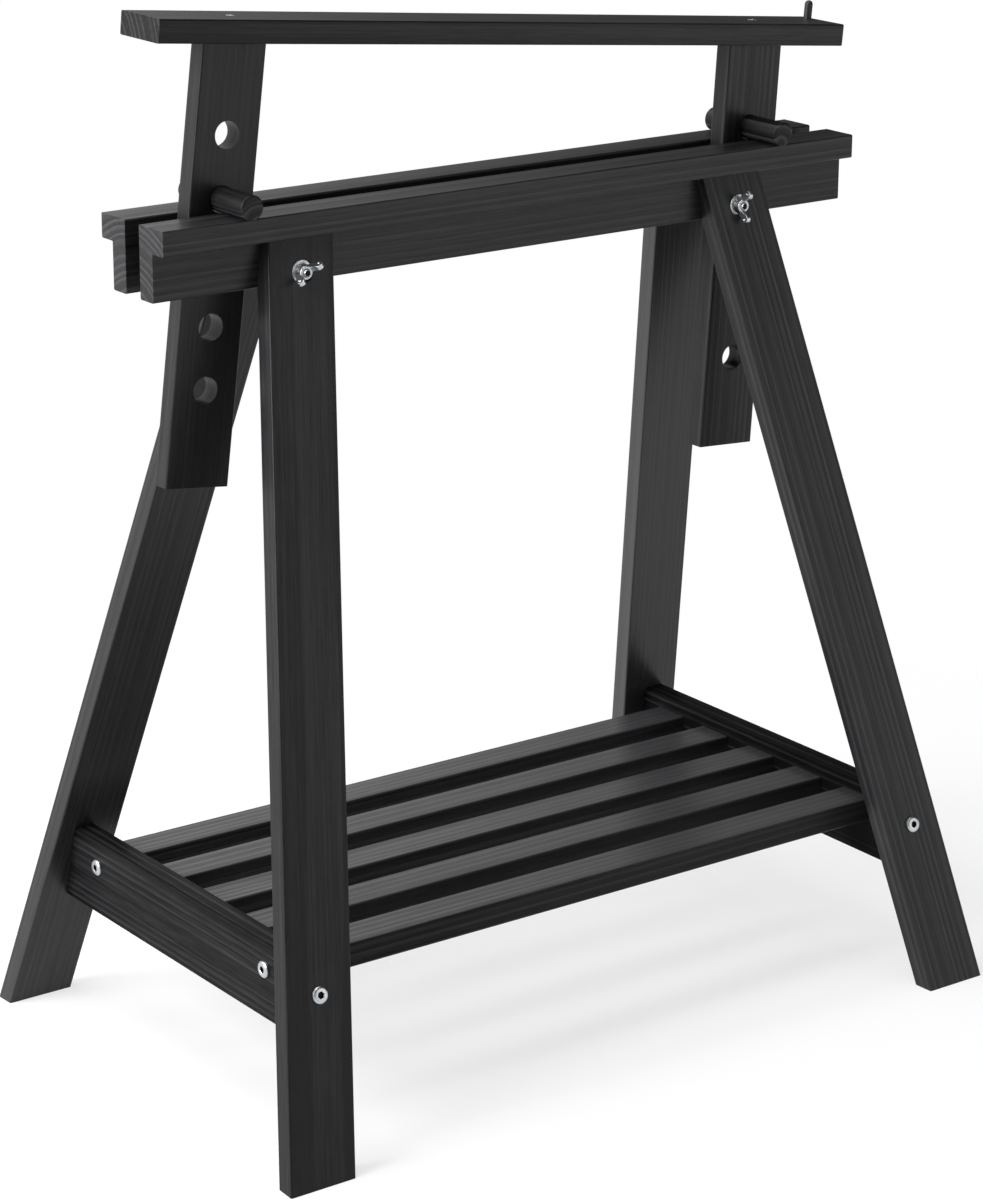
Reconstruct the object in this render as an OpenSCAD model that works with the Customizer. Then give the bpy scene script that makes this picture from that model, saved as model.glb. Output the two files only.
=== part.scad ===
// Wooden table trestle with a slatted shelf and a top bar that pegs at several heights and tilts.
// X runs along the rails, the front is at -Y, Z is up, and the origin lies on the floor
// in the middle of the four feet.

/* [Boards] */
// Radius of the eased edges along every board but the slats
board_ease = 1.5; // [0.5:0.25:3]

/* [Rails] */
// Length of each rail
rail_len = 690; // [640:1:760]
// Height of the rails' top faces above the floor
rail_top_z = 723; // [660:1:780]
// Height of a rail from its top face to the lower edge of its web
rail_h = 58.5; // [54:0.5:70]
// Thickness of the web that stands next to the slot
rail_web_t = 19; // [17:0.5:24]
// Width of the top face, web and overhang together
rail_top_w = 35; // [30:0.5:44]
// Thickness of the overhanging flange
rail_flange_t = 20; // [16:0.5:24]
// Width of the slot between the two rails
slot_w = 21; // [20:0.5:26]

/* [Spacer blocks] */
// Distance of each spacer block from the middle
spacer_x = 140; // [60:1:150]
// Length of a spacer block along the slot
spacer_len = 36; // [30:1:50]
// Height of a spacer block
spacer_h = 34; // [28:1:36]
// Diameter of the dowels that locate a spacer block
spacer_dowel_d = 8; // [6:1:10]
// Distance between the two dowels of a block
spacer_dowel_pitch = 18; // [15:1:20]
// Depth to which these dowels enter each web
spacer_dowel_depth = 12; // [8:0.5:14]

/* [Legs] */
// Width of a leg board
leg_w = 59.5; // [52:0.5:70]
// Thickness of a leg board
leg_t = 18.5; // [15:0.5:20]
// Distance of a leg's middle line from the centre, at the lower edge of the web
leg_x = 222; // [205:1:240]
// Angle by which the legs spread towards front and back
leg_rake = 15.5; // [12:0.1:18]
// Angle by which the legs spread sideways within their own faces
leg_lean = 9.1; // [5:0.1:11]

/* [Shelf] */
// Height of a crossbar
crossbar_h = 66.5; // [60:0.5:72]
// Thickness of a crossbar
crossbar_t = 19; // [18:0.5:26]
// Height of the crossbars' top edges above the floor
crossbar_top_z = 168; // [140:1:220]
// Number of shelf slats
slat_count = 5; // [5:1:5]
// Width of a slat
slat_w = 36; // [33:0.5:44]
// Thickness of a slat
slat_t = 21; // [18:0.5:24]
// Distance from one slat to the next, centre to centre
slat_pitch = 65; // [58:0.5:66]
// Drop from the crossbars' top edges to the slats' top faces
slat_drop = 13; // [8:0.5:16]
// Radius of the eased edges along a slat
slat_ease = 2; // [1:0.25:4]
// Diameter of the dowels that carry the inner slats
slat_dowel_d = 8; // [6:1:10]
// Depth to which these dowels enter the crossbars
slat_dowel_bar_depth = 15; // [10:0.5:16]
// Depth to which these dowels enter the slats
slat_dowel_slat_depth = 20; // [15:1:30]

/* [Top frame] */
// Length of the top bar
bar_len = 682; // [620:1:760]
// Width of the top bar
bar_w = 56; // [46:0.5:66]
// Thickness of the top bar
bar_t = 18.5; // [15:0.5:24]
// Length of an upright below the top bar
upright_len = 350; // [345:1:400]
// Width of an upright
upright_w = 57.5; // [50:0.5:64]
// Thickness of an upright, which slides in the slot between the rails
upright_t = 17.5; // [14:0.5:18.5]
// Distance of each upright's middle line from the end of the bar
upright_inset = 80; // [60:1:90]
// Angle by which each upright spreads outwards towards its lower end
upright_splay = 1.65; // [0:0.05:2]

/* [Pegs] */
// Number of peg holes in an upright
hole_count = 5; // [3:1:5]
// Distance from the bar to the first peg hole
hole_first = 72; // [65:1:90]
// Distance from one peg hole to the next
hole_pitch = 50; // [40:1:55]
// Diameter of the peg holes
hole_d = 22; // [21.5:0.25:26]
// Diameter of the pegs
peg_d = 20; // [16:0.5:20.5]
// Length of a peg
peg_len = 94; // [90:1:110]
// Chamfer round the ends of a peg
peg_chamfer = 1.2; // [0.5:0.1:2]
// Distance by which the pegs sit forward of the middle
peg_forward = 6.5; // [0:0.5:10]
// Number of holes from the bar down to the left peg's own
left_hole_count = 2; // [1:1:3]
// Number of holes from the bar down to the right peg's own
right_hole_count = 1; // [1:1:3]
// Place of the right peg along the rails
right_peg_x = 260.5; // [250:0.5:275]

/* [Stop pin] */
// Diameter of the stop pin at the low end of the bar
pin_d = 7; // [5:0.5:9]
// Height of the stop pin above the bar
pin_h = 16; // [10:1:25]
// Depth to which the stop pin enters the bar
pin_depth = 11; // [8:0.5:12]
// Distance of the stop pin from the end of the bar
pin_inset = 9.5; // [8:0.5:30]
// Distance of the stop pin behind the middle of the bar
pin_back = 9; // [0:0.5:16]

/* [Leg bolts] */
// Diameter of the leg bolts
leg_bolt_d = 6; // [5:0.5:8]
// Height of the leg bolts above the lower edge of the web
leg_bolt_rise = 12; // [11:0.5:16]
// Diameter of a leg bolt's head
leg_bolt_head_d = 16; // [13:0.5:18]
// Height of a leg bolt's head
leg_bolt_head_h = 3.5; // [3:0.5:5]
// Outer diameter of the washers
washer_d = 18; // [16:0.5:21]
// Thickness of the washers
washer_t = 1.6; // [1:0.1:2.5]
// Diameter of a wing nut's boss at its foot
nut_boss_d = 13; // [12:0.5:16]
// Height of a wing nut's boss
nut_boss_h = 7; // [6:0.5:11]
// Distance from a wing nut's axis to the tip of a wing
nut_wing_r = 13.5; // [12.5:0.5:18]
// Height of a wing nut over its wings
nut_h = 15; // [13.5:0.5:19]
// Thickness of a wing
nut_wing_t = 3; // [2:0.1:3.5]
// Length of bolt that shows beyond a wing nut's boss
leg_bolt_proud = 1; // [1:0.5:6]

/* [Shelf bolts] */
// Diameter of the socket bolts
bolt_d = 6; // [5:0.5:6.5]
// Diameter of a socket bolt's head
bolt_head_d = 14; // [11:0.5:16]
// Height of a socket bolt's head
bolt_head_h = 3; // [2.5:0.25:4]
// Width across the flats of the hexagon socket
socket_af = 5; // [3:0.5:5.5]
// Depth of the hexagon socket
socket_depth = 2; // [1:0.25:2.25]
// Diameter of the barrel nuts
barrel_d = 10; // [9:0.5:12]
// Length of a barrel nut
barrel_len = 14; // [12:0.5:15]
// Length of bolt that goes past the middle of its barrel nut
bolt_past = 8; // [7:0.5:10]
// Distance of a barrel nut from the end of its crossbar
end_barrel_depth = 32; // [25:1:34]
// Distance in from a crossbar's end at which the end bolt crosses its mid-height
end_bolt_mid = 12; // [5:1:20]
// Distance of a barrel nut from the end of its slat
slat_barrel_depth = 35; // [25:1:45]

/* [Bar screws] */
// Diameter of the countersunk bar screws
screw_d = 4.5; // [3.5:0.5:5]
// Diameter of a bar screw's head
screw_head_d = 9; // [8:0.5:10]
// Length of a bar screw
screw_len = 55; // [40:1:60]

/* [Fits] */
// Radial play of bolts, screws and dowels in their holes
hole_play = 0.3; // [0.2:0.05:0.5]
// Radial play between a wing nut and its bolt
thread_play = 0.08; // [0.05:0.01:0.1]
// Gap between a wing nut and its washer
nut_gap = 0.3; // [0.2:0.05:0.5]
// Gap at which a peg lies on the rails and in the top of its hole
peg_gap = 0.3; // [0.2:0.05:0.5]
// Depth by which a bolt head lies below the surface that it is sunk in
sunk_gap = 0.5; // [0.3:0.1:1]
// Play of a barrel nut in its bore, at the side and at the end
barrel_play = 0.3; // [0.2:0.05:0.5]

/* [Hidden] */
$fn = 48;

stain = [0.13, 0.13, 0.135];
bare_wood = [0.72, 0.58, 0.40];
zinc = [0.74, 0.75, 0.77];

// Longer than anything here, for cutters and for bores that pass right through
far = 1500;
// Overrun of a cutter past the face that it opens
over = 1;

// Rails
web_y = slot_w / 2 + rail_web_t;
web_bottom_z = rail_top_z - rail_h;
flange_bottom_z = rail_top_z - rail_flange_t;

// Legs: each is placed by the point where its inner face meets the lower edge of the web
leg_len = rail_top_z / cos(leg_rake) / cos(leg_lean);
leg_bolt_z = web_bottom_z + leg_bolt_rise;
leg_bolt_x = leg_x - leg_bolt_rise * tan(leg_lean) / cos(leg_rake);
// Level seat for the washer, cut into the raked outer face at the washer's upper rim
seat_y = web_y + leg_t / cos(leg_rake) - (leg_bolt_rise + washer_d / 2) * tan(leg_rake);
nut_y = seat_y + washer_t + nut_gap;
leg_bolt_tip_y = nut_y + nut_boss_h + leg_bolt_proud;
leg_bolt_head_y = slot_w / 2 + sunk_gap;

// Crossbars: centred on the legs at the end bolts
crossbar_z = crossbar_top_z - crossbar_h;
crossbar_mid_z = crossbar_top_z - crossbar_h / 2;
end_bolt_along = (web_bottom_z - crossbar_mid_z - end_bolt_mid * sin(leg_rake)) / cos(leg_rake) / cos(leg_lean);
crossbar_x = leg_x + end_bolt_along * sin(leg_lean);
end_barrel_y = web_y + end_bolt_along * cos(leg_lean) * sin(leg_rake) - end_barrel_depth * cos(leg_rake);
end_barrel_z = web_bottom_z - end_bolt_along * cos(leg_lean) * cos(leg_rake) - end_barrel_depth * sin(leg_rake);

// Slats
slat_end_x = crossbar_x - crossbar_t / 2;
slat_top_z = crossbar_top_z - slat_drop;
slat_mid_z = slat_top_z - slat_t / 2;
slat_out = (slat_count - 1) / 2;

// Top frame: its tilt and place follow from the two holes that are pegged
upright_x = bar_len / 2 - upright_inset;
function hole_along(k) = hole_first + (k - 1) * hole_pitch;
function hole_u(k) = upright_x + hole_along(k) * sin(upright_splay);
function hole_v(k) = -hole_along(k) * cos(upright_splay);
frame_tilt = atan2(hole_v(right_hole_count) - hole_v(left_hole_count), hole_u(right_hole_count) + hole_u(left_hole_count));
peg_z = rail_top_z + peg_gap + peg_d / 2;
pegged_hole_z = peg_z - (hole_d - peg_d) / 2 + peg_gap;
frame_x = right_peg_x - hole_u(right_hole_count) * cos(frame_tilt) - hole_v(right_hole_count) * sin(frame_tilt);
frame_z = pegged_hole_z + hole_u(right_hole_count) * sin(frame_tilt) - hole_v(right_hole_count) * cos(frame_tilt);
left_peg_x = frame_x - hole_u(left_hole_count) * cos(frame_tilt) + hole_v(left_hole_count) * sin(frame_tilt);

// Places things in the frame of one leg: side -1 is left, face -1 is front.
// Local Z runs up the leg, local -Y points out of its outer face.
module at_leg(side, face) {
    translate([side * leg_x, face * web_y, web_bottom_z])
        rotate([face * leg_rake, 0, 0])
            rotate([0, -side * leg_lean, 0])
                mirror([0, face > 0 ? 1 : 0, 0])
                    children();
}

// Places things in the frame of the top bar, with local Z = 0 on its underside
module in_top_frame() {
    translate([frame_x, 0, frame_z])
        rotate([0, frame_tilt, 0])
            children();
}

// Turns local Z to point out of the front (face -1) or the back (face 1)
module facing(face) {
    rotate([-face * 90, 0, 0])
        children();
}

// Round bar or bore along Y, from y0 to y1
module along_y(x, z, y0, y1, d) {
    translate([x, y0, z])
        rotate([-90, 0, 0])
            cylinder(d = d, h = y1 - y0);
}

// Rectangle with rounded corners, centred
module eased_rect(w, t, r) {
    square([w - 2 * r, t], center = true);
    square([w, t - 2 * r], center = true);
    for (i = [-1, 1], j = [-1, 1])
        translate([i * (w / 2 - r), j * (t / 2 - r)])
            circle(r = r);
}

// Rail: one rabbeted board, its web beside the slot and its flange overhanging the legs
module rail(face) {
    color(stain)
        difference() {
            translate([-rail_len / 2, 0, 0])
                rotate([90, 0, 90])
                    linear_extrude(rail_len)
                        mirror([face < 0 ? 1 : 0, 0])
                            translate([slot_w / 2, web_bottom_z])
                                rail_section();
            for (side = [-1, 1])
                leg_bolt_bores(side, face);
            for (side = [-1, 1])
                spacer_dowel_bores(side);
        }
}

// Section of a rail: the web stands on its lower edge, the flange lies on top of it
module rail_section() {
    translate([rail_web_t / 2, rail_h / 2])
        eased_rect(rail_web_t, rail_h, board_ease);
    translate([rail_top_w / 2, rail_h - rail_flange_t / 2])
        eased_rect(rail_top_w, rail_flange_t, board_ease);
}

// Bolt bore through web and leg, with the counterbore for the head on the slot side
module leg_bolt_bores(side, face) {
    translate([side * leg_bolt_x, 0, leg_bolt_z])
        facing(face) {
            cylinder(d = leg_bolt_d + 2 * hole_play, h = far);
            cylinder(d = leg_bolt_head_d + 2 * hole_play, h = leg_bolt_head_y + leg_bolt_head_h);
        }
}

// Bores of the two dowels that cross one spacer block and enter both webs
module spacer_dowel_bores(side) {
    reach = slot_w / 2 + spacer_dowel_depth;
    for (i = [-1, 1])
        along_y(side * spacer_x + i * spacer_dowel_pitch / 2, web_bottom_z + spacer_h / 2,
            -reach, reach, spacer_dowel_d + 2 * hole_play);
}

module front_rail() {
    rail(-1);
}

module back_rail() {
    rail(1);
}

// Spacer block that keeps the slot open between the webs
module spacer(side) {
    color(stain)
        difference() {
            translate([side * spacer_x - spacer_len / 2, -slot_w / 2, web_bottom_z])
                cube([spacer_len, slot_w, spacer_h]);
            spacer_dowel_bores(side);
        }
}

module left_spacer() {
    spacer(-1);
}

module right_spacer() {
    spacer(1);
}

module spacer_dowels() {
    reach = slot_w / 2 + spacer_dowel_depth - hole_play;
    color(bare_wood)
        for (side = [-1, 1], i = [-1, 1])
            along_y(side * spacer_x + i * spacer_dowel_pitch / 2, web_bottom_z + spacer_h / 2,
                -reach, reach, spacer_dowel_d);
}

// Leg: a raked board whose top is bevelled upright against the web and cut level under the flange
module leg(side, face) {
    color(stain)
        difference() {
            at_leg(side, face)
                translate([0, -leg_t / 2, -leg_len])
                    linear_extrude(leg_len + rail_h)
                        eased_rect(leg_w, leg_t, board_ease);
            translate([-far / 2, -far / 2, -far])
                cube([far, far, far]);
            translate([-far / 2, -far / 2, flange_bottom_z])
                cube([far, far, far]);
            translate([-far / 2, face > 0 ? web_y - far : -web_y, web_bottom_z])
                cube([far, far, far]);
            leg_bolt_bores(side, face);
            translate([side * leg_bolt_x, face * seat_y, leg_bolt_z])
                facing(face)
                    cylinder(d = washer_d + 4 * hole_play, h = leg_t);
            at_leg(side, face)
                end_bolt_bore(leg_t + over);
        }
}

// Bore of an end bolt in the frame of its leg: square to the leg, through it and into the crossbar
module end_bolt_bore(out) {
    along_y(0, -end_bolt_along, -out, end_barrel_depth + bolt_past + hole_play, bolt_d + 2 * hole_play);
}

module front_left_leg() {
    leg(-1, -1);
}

module front_right_leg() {
    leg(1, -1);
}

module back_left_leg() {
    leg(-1, 1);
}

module back_right_leg() {
    leg(1, 1);
}

// Round-headed bolts, sunk in the slot side of the webs and pointing outwards
module leg_bolts() {
    color(zinc)
        for (side = [-1, 1], face = [-1, 1])
            translate([side * leg_bolt_x, 0, leg_bolt_z])
                facing(face) {
                    translate([0, 0, leg_bolt_head_y])
                        cylinder(d1 = leg_bolt_head_d - leg_bolt_head_h, d2 = leg_bolt_head_d,
                            h = leg_bolt_head_h / 2);
                    translate([0, 0, leg_bolt_head_y + leg_bolt_head_h / 2])
                        cylinder(d = leg_bolt_head_d, h = leg_bolt_head_h / 2);
                    translate([0, 0, leg_bolt_head_y])
                        cylinder(d = leg_bolt_d, h = leg_bolt_tip_y - leg_bolt_head_y - over);
                    translate([0, 0, leg_bolt_tip_y - over])
                        cylinder(d1 = leg_bolt_d, d2 = leg_bolt_d - 2 * over, h = over);
                }
}

module leg_washers() {
    color(zinc)
        for (side = [-1, 1], face = [-1, 1])
            translate([side * leg_bolt_x, face * seat_y, leg_bolt_z])
                facing(face)
                    difference() {
                        cylinder(d = washer_d, h = washer_t);
                        translate([0, 0, -over])
                            cylinder(d = leg_bolt_d + 2 * hole_play, h = washer_t + 2 * over);
                    }
}

// Wing nut: a tapered boss with two wings that sweep out and up to rounded tips
module wing_nut(side, face, turn) {
    bore_d = leg_bolt_d + 2 * thread_play;
    tip_r = nut_wing_r / 4;
    tip_x = nut_wing_r - tip_r;
    tip_z = nut_h - tip_r;
    color(zinc)
        translate([side * leg_bolt_x, face * nut_y, leg_bolt_z])
            facing(face)
                rotate([0, 0, turn])
                    difference() {
                        union() {
                            cylinder(d1 = nut_boss_d, d2 = nut_boss_d - 2, h = nut_boss_h);
                            for (i = [0, 180])
                                rotate([90, 0, i])
                                    translate([0, 0, -nut_wing_t / 2])
                                        linear_extrude(nut_wing_t) {
                                            translate([tip_x, tip_z])
                                                circle(r = tip_r);
                                            polygon([
                                                [bore_d / 2 + 0.5, 1],
                                                [nut_boss_d / 2, 1],
                                                [tip_x + tip_r * cos(-35), tip_z + tip_r * sin(-35)],
                                                [tip_x + tip_r * cos(125), tip_z + tip_r * sin(125)],
                                                [bore_d / 2 + 0.5, nut_boss_h]
                                            ]);
                                        }
                        }
                        translate([0, 0, -over])
                            cylinder(d = bore_d, h = nut_h + 2 * over);
                    }
}

module front_left_wing_nut() {
    wing_nut(-1, -1, 33);
}

module front_right_wing_nut() {
    wing_nut(1, -1, 84);
}

module back_left_wing_nut() {
    wing_nut(-1, 1, 20);
}

module back_right_wing_nut() {
    wing_nut(1, 1, 120);
}

// Crossbar: an upright board between a front and a back leg, its ends cut to their inner faces
module crossbar(side) {
    color(stain)
        difference() {
            translate([side * crossbar_x, far / 2, crossbar_mid_z])
                rotate([90, 0, 0])
                    linear_extrude(far)
                        eased_rect(crossbar_t, crossbar_h, board_ease);
            for (face = [-1, 1])
                translate([0, face * web_y, web_bottom_z])
                    rotate([face * leg_rake, 0, 0])
                        translate([-far / 2, face > 0 ? 0 : -far, -far])
                            cube([far, far, 2 * far]);
            for (face = [-1, 1]) {
                at_leg(side, face)
                    end_bolt_bore(over);
                end_barrel_bore(side, face);
            }
            for (i = [-slat_out, slat_out])
                shelf_bolt_bore(side, i);
            for (i = [1 - slat_out : slat_out - 1])
                slat_dowel_bore(side, i);
        }
}

// Bore that takes an end bolt's barrel nut from below
module end_barrel_bore(side, face) {
    translate([side * crossbar_x, face * end_barrel_y, crossbar_z - over])
        cylinder(d = barrel_d + 2 * barrel_play, h = end_barrel_z + barrel_len / 2 + barrel_play - crossbar_z + over);
}

// Bore of a shelf bolt through a crossbar and into the end of an outer slat
module shelf_bolt_bore(side, i) {
    reach = crossbar_t + slat_barrel_depth + bolt_past + hole_play;
    translate([side * (slat_end_x + crossbar_t + over), i * slat_pitch, slat_mid_z])
        rotate([0, -side * 90, 0])
            cylinder(d = bolt_d + 2 * hole_play, h = reach + over);
}

// Bore of the dowel between a crossbar and the end of an inner slat
module slat_dowel_bore(side, i) {
    translate([side * (slat_end_x + slat_dowel_bar_depth), i * slat_pitch, slat_mid_z])
        rotate([0, -side * 90, 0])
            cylinder(d = slat_dowel_d + 2 * hole_play, h = slat_dowel_bar_depth + slat_dowel_slat_depth);
}

module left_crossbar() {
    crossbar(-1);
}

module right_crossbar() {
    crossbar(1);
}

// Low socket-head bolt along local Z: its head starts at Z = 0 and its shank points down
module socket_bolt(len) {
    difference() {
        union() {
            cylinder(d = bolt_head_d, h = bolt_head_h / 2);
            translate([0, 0, bolt_head_h / 2])
                cylinder(d1 = bolt_head_d, d2 = bolt_head_d - bolt_head_h, h = bolt_head_h / 2);
        }
        translate([0, 0, bolt_head_h - socket_depth])
            cylinder(d = socket_af / cos(30), h = socket_depth + over, $fn = 6);
    }
    translate([0, 0, -len])
        cylinder(d = bolt_d, h = len);
}

// Cross-drilled barrel nut, upright on local Z, with its thread along local X turned by pitch
module barrel_nut(thread_turn, thread_pitch) {
    difference() {
        translate([0, 0, -barrel_len / 2])
            cylinder(d = barrel_d, h = barrel_len);
        rotate([0, 0, thread_turn])
            rotate([0, 90 + thread_pitch, 0])
                cylinder(d = bolt_d + 2 * thread_play, h = 2 * barrel_d, center = true);
    }
}

module end_bolts() {
    color(zinc)
        for (side = [-1, 1], face = [-1, 1])
            at_leg(side, face)
                translate([0, -leg_t, -end_bolt_along])
                    rotate([90, 0, 0])
                        socket_bolt(leg_t + end_barrel_depth + bolt_past);
}

module end_barrel_nuts() {
    color(zinc)
        for (side = [-1, 1], face = [-1, 1])
            translate([side * crossbar_x, face * end_barrel_y, end_barrel_z])
                barrel_nut(-face * 90, leg_rake);
}

// Slat: an eased board between the crossbars; the outer ones are bolted, the inner ones dowelled
module shelf_slat(i) {
    color(stain)
        difference() {
            translate([-slat_end_x, i * slat_pitch, slat_mid_z])
                rotate([90, 0, 90])
                    linear_extrude(2 * slat_end_x)
                        eased_rect(slat_w, slat_t, slat_ease);
            for (side = [-1, 1])
                if (abs(i) == slat_out) {
                    shelf_bolt_bore(side, i);
                    shelf_barrel_bore(side, i);
                } else {
                    slat_dowel_bore(side, i);
                }
        }
}

// Bore that takes a shelf bolt's barrel nut from below
module shelf_barrel_bore(side, i) {
    translate([side * (slat_end_x - slat_barrel_depth), i * slat_pitch, slat_mid_z - slat_t / 2 - over])
        cylinder(d = barrel_d + 2 * barrel_play, h = slat_t / 2 + barrel_len / 2 + barrel_play + over);
}

module shelf_slat_1() {
    shelf_slat(-2);
}

module shelf_slat_2() {
    shelf_slat(-1);
}

module shelf_slat_3() {
    shelf_slat(0);
}

module shelf_slat_4() {
    shelf_slat(1);
}

module shelf_slat_5() {
    shelf_slat(2);
}

module slat_dowels() {
    color(bare_wood)
        for (side = [-1, 1], i = [1 - slat_out : slat_out - 1])
            translate([side * (slat_end_x + slat_dowel_bar_depth - hole_play), i * slat_pitch, slat_mid_z])
                rotate([0, -side * 90, 0])
                    cylinder(d = slat_dowel_d, h = slat_dowel_bar_depth + slat_dowel_slat_depth - 2 * hole_play);
}

module shelf_bolts() {
    color(zinc)
        for (side = [-1, 1], i = [-slat_out, slat_out])
            translate([side * (slat_end_x + crossbar_t), i * slat_pitch, slat_mid_z])
                rotate([0, side * 90, 0])
                    socket_bolt(crossbar_t + slat_barrel_depth + bolt_past);
}

module shelf_barrel_nuts() {
    color(zinc)
        for (side = [-1, 1], i = [-slat_out, slat_out])
            translate([side * (slat_end_x - slat_barrel_depth), i * slat_pitch, slat_mid_z])
                barrel_nut(0, 0);
}

module top_bar() {
    color(stain)
        in_top_frame()
            difference() {
                translate([-bar_len / 2, 0, bar_t / 2])
                    rotate([90, 0, 90])
                        linear_extrude(bar_len)
                            eased_rect(bar_w, bar_t, board_ease);
                for (side = [-1, 1])
                    bar_screw_bore(side);
                translate([bar_len / 2 - pin_inset, pin_back, bar_t - pin_depth])
                    cylinder(d = pin_d + 2 * hole_play, h = pin_depth + over);
            }
}

// Countersunk bore of a bar screw, through the bar and into the upright
module bar_screw_bore(side) {
    translate([side * upright_x, 0, bar_t - screw_len - 2 * hole_play])
        cylinder(d = screw_d + 2 * hole_play, h = screw_len + 2 * hole_play + over);
    translate([side * upright_x, 0, bar_t - (screw_head_d - screw_d) / 2])
        cylinder(d1 = screw_d + 2 * hole_play, d2 = screw_head_d + 2 * hole_play, h = (screw_head_d - screw_d) / 2);
    translate([side * upright_x, 0, bar_t])
        cylinder(d = screw_head_d + 2 * hole_play, h = over);
}

// Upright: spread a little outwards, its top cut to the bar, with a column of peg holes
module upright(side) {
    color(stain)
        in_top_frame()
            difference() {
                translate([side * upright_x, 0, 0])
                    rotate([0, -side * upright_splay, 0])
                        difference() {
                            translate([0, 0, -upright_len])
                                linear_extrude(upright_len + bar_t)
                                    eased_rect(upright_w, upright_t, board_ease);
                            for (k = [1 : hole_count])
                                along_y(0, -hole_along(k), -upright_t, upright_t, hole_d);
                        }
                translate([-far / 2, -far / 2, 0])
                    cube([far, far, far]);
                bar_screw_bore(side);
            }
}

module left_upright() {
    upright(-1);
}

module right_upright() {
    upright(1);
}

module bar_screws() {
    head_h = (screw_head_d - screw_d) / 2;
    color(zinc)
        in_top_frame()
            for (side = [-1, 1])
                translate([side * upright_x, 0, bar_t - hole_play]) {
                    translate([0, 0, -head_h])
                        cylinder(d1 = screw_d, d2 = screw_head_d, h = head_h);
                    translate([0, 0, -screw_len])
                        cylinder(d = screw_d, h = screw_len);
                }
}

// Stop pin with a domed top
module stop_pin() {
    color(stain)
        in_top_frame()
            translate([bar_len / 2 - pin_inset, pin_back, bar_t - pin_depth + hole_play])
                rotate_extrude() {
                    square([pin_d / 2, pin_depth - hole_play + pin_h - pin_d / 2]);
                    translate([0, pin_depth - hole_play + pin_h - pin_d / 2])
                        intersection() {
                            circle(d = pin_d);
                            square(pin_d);
                        }
                }
}

// Peg: a dowel with chamfered ends that lies across both rails
module peg(x) {
    color(stain)
        translate([x, -peg_forward - peg_len / 2, peg_z])
            rotate([-90, 0, 0]) {
                cylinder(d1 = peg_d - 2 * peg_chamfer, d2 = peg_d, h = peg_chamfer);
                translate([0, 0, peg_chamfer])
                    cylinder(d = peg_d, h = peg_len - 2 * peg_chamfer);
                translate([0, 0, peg_len - peg_chamfer])
                    cylinder(d1 = peg_d, d2 = peg_d - 2 * peg_chamfer, h = peg_chamfer);
            }
}

module left_peg() {
    peg(left_peg_x);
}

module right_peg() {
    peg(right_peg_x);
}

front_rail();
back_rail();
left_spacer();
right_spacer();
spacer_dowels();
front_left_leg();
front_right_leg();
back_left_leg();
back_right_leg();
leg_bolts();
leg_washers();
front_left_wing_nut();
front_right_wing_nut();
back_left_wing_nut();
back_right_wing_nut();
left_crossbar();
right_crossbar();
end_bolts();
end_barrel_nuts();
shelf_slat_1();
shelf_slat_2();
shelf_slat_3();
shelf_slat_4();
shelf_slat_5();
slat_dowels();
shelf_bolts();
shelf_barrel_nuts();
top_bar();
left_upright();
right_upright();
bar_screws();
stop_pin();
left_peg();
right_peg();
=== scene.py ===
import math

import bmesh
import bpy
from mathutils import Matrix, Vector


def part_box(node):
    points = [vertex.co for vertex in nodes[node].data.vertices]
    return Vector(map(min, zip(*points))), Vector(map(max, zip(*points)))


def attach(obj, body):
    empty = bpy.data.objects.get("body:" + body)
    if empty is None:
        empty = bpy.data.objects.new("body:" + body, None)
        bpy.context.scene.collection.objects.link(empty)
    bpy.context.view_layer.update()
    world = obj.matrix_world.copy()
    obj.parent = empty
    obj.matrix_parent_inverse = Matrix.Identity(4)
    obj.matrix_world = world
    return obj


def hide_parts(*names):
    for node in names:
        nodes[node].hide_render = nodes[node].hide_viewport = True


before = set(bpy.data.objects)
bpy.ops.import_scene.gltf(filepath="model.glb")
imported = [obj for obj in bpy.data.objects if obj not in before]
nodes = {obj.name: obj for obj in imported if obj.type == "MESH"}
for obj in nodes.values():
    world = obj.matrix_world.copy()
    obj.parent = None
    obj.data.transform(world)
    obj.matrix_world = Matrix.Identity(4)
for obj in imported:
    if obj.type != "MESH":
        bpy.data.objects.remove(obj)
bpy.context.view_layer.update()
mm = 0.001
print("frame loaded,", len(nodes), "nodes")


def linear(hexColour):  # sRGB hex to the linear values that sockets take
    parts = [int(hexColour[i:i + 2], 16) / 255 for i in (1, 3, 5)]
    return [c / 12.92 if c <= 0.04045 else ((c + 0.055) / 1.055) ** 2.4 for c in parts] + [1.0]


def addNode(tree, kind, settings={}, inputs={}):  # one node with its settings; inputs are values, sockets or nodes
    node = tree.nodes.new(kind)
    for key, value in settings.items():
        setattr(node, key, value)
    for key, value in inputs.items():
        if isinstance(value, bpy.types.Node):
            value = value.outputs[0]
        if isinstance(value, bpy.types.NodeSocket):
            tree.links.new(value, node.inputs[key])
        else:
            node.inputs[key].default_value = value
    return node


# Settings that many nodes share
times, timesPlus, larger = ({"operation": kind} for kind in ("MULTIPLY", "MULTIPLY_ADD", "MAXIMUM"))
soft = {"interpolation_type": "SMOOTHSTEP"}
rgba = {"data_type": "RGBA"}


def newMaterial(name):  # empty material, ready for its nodes
    material = bpy.data.materials.new(name)
    material.use_nodes = True
    material.node_tree.nodes.clear()
    return material, material.node_tree


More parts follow.
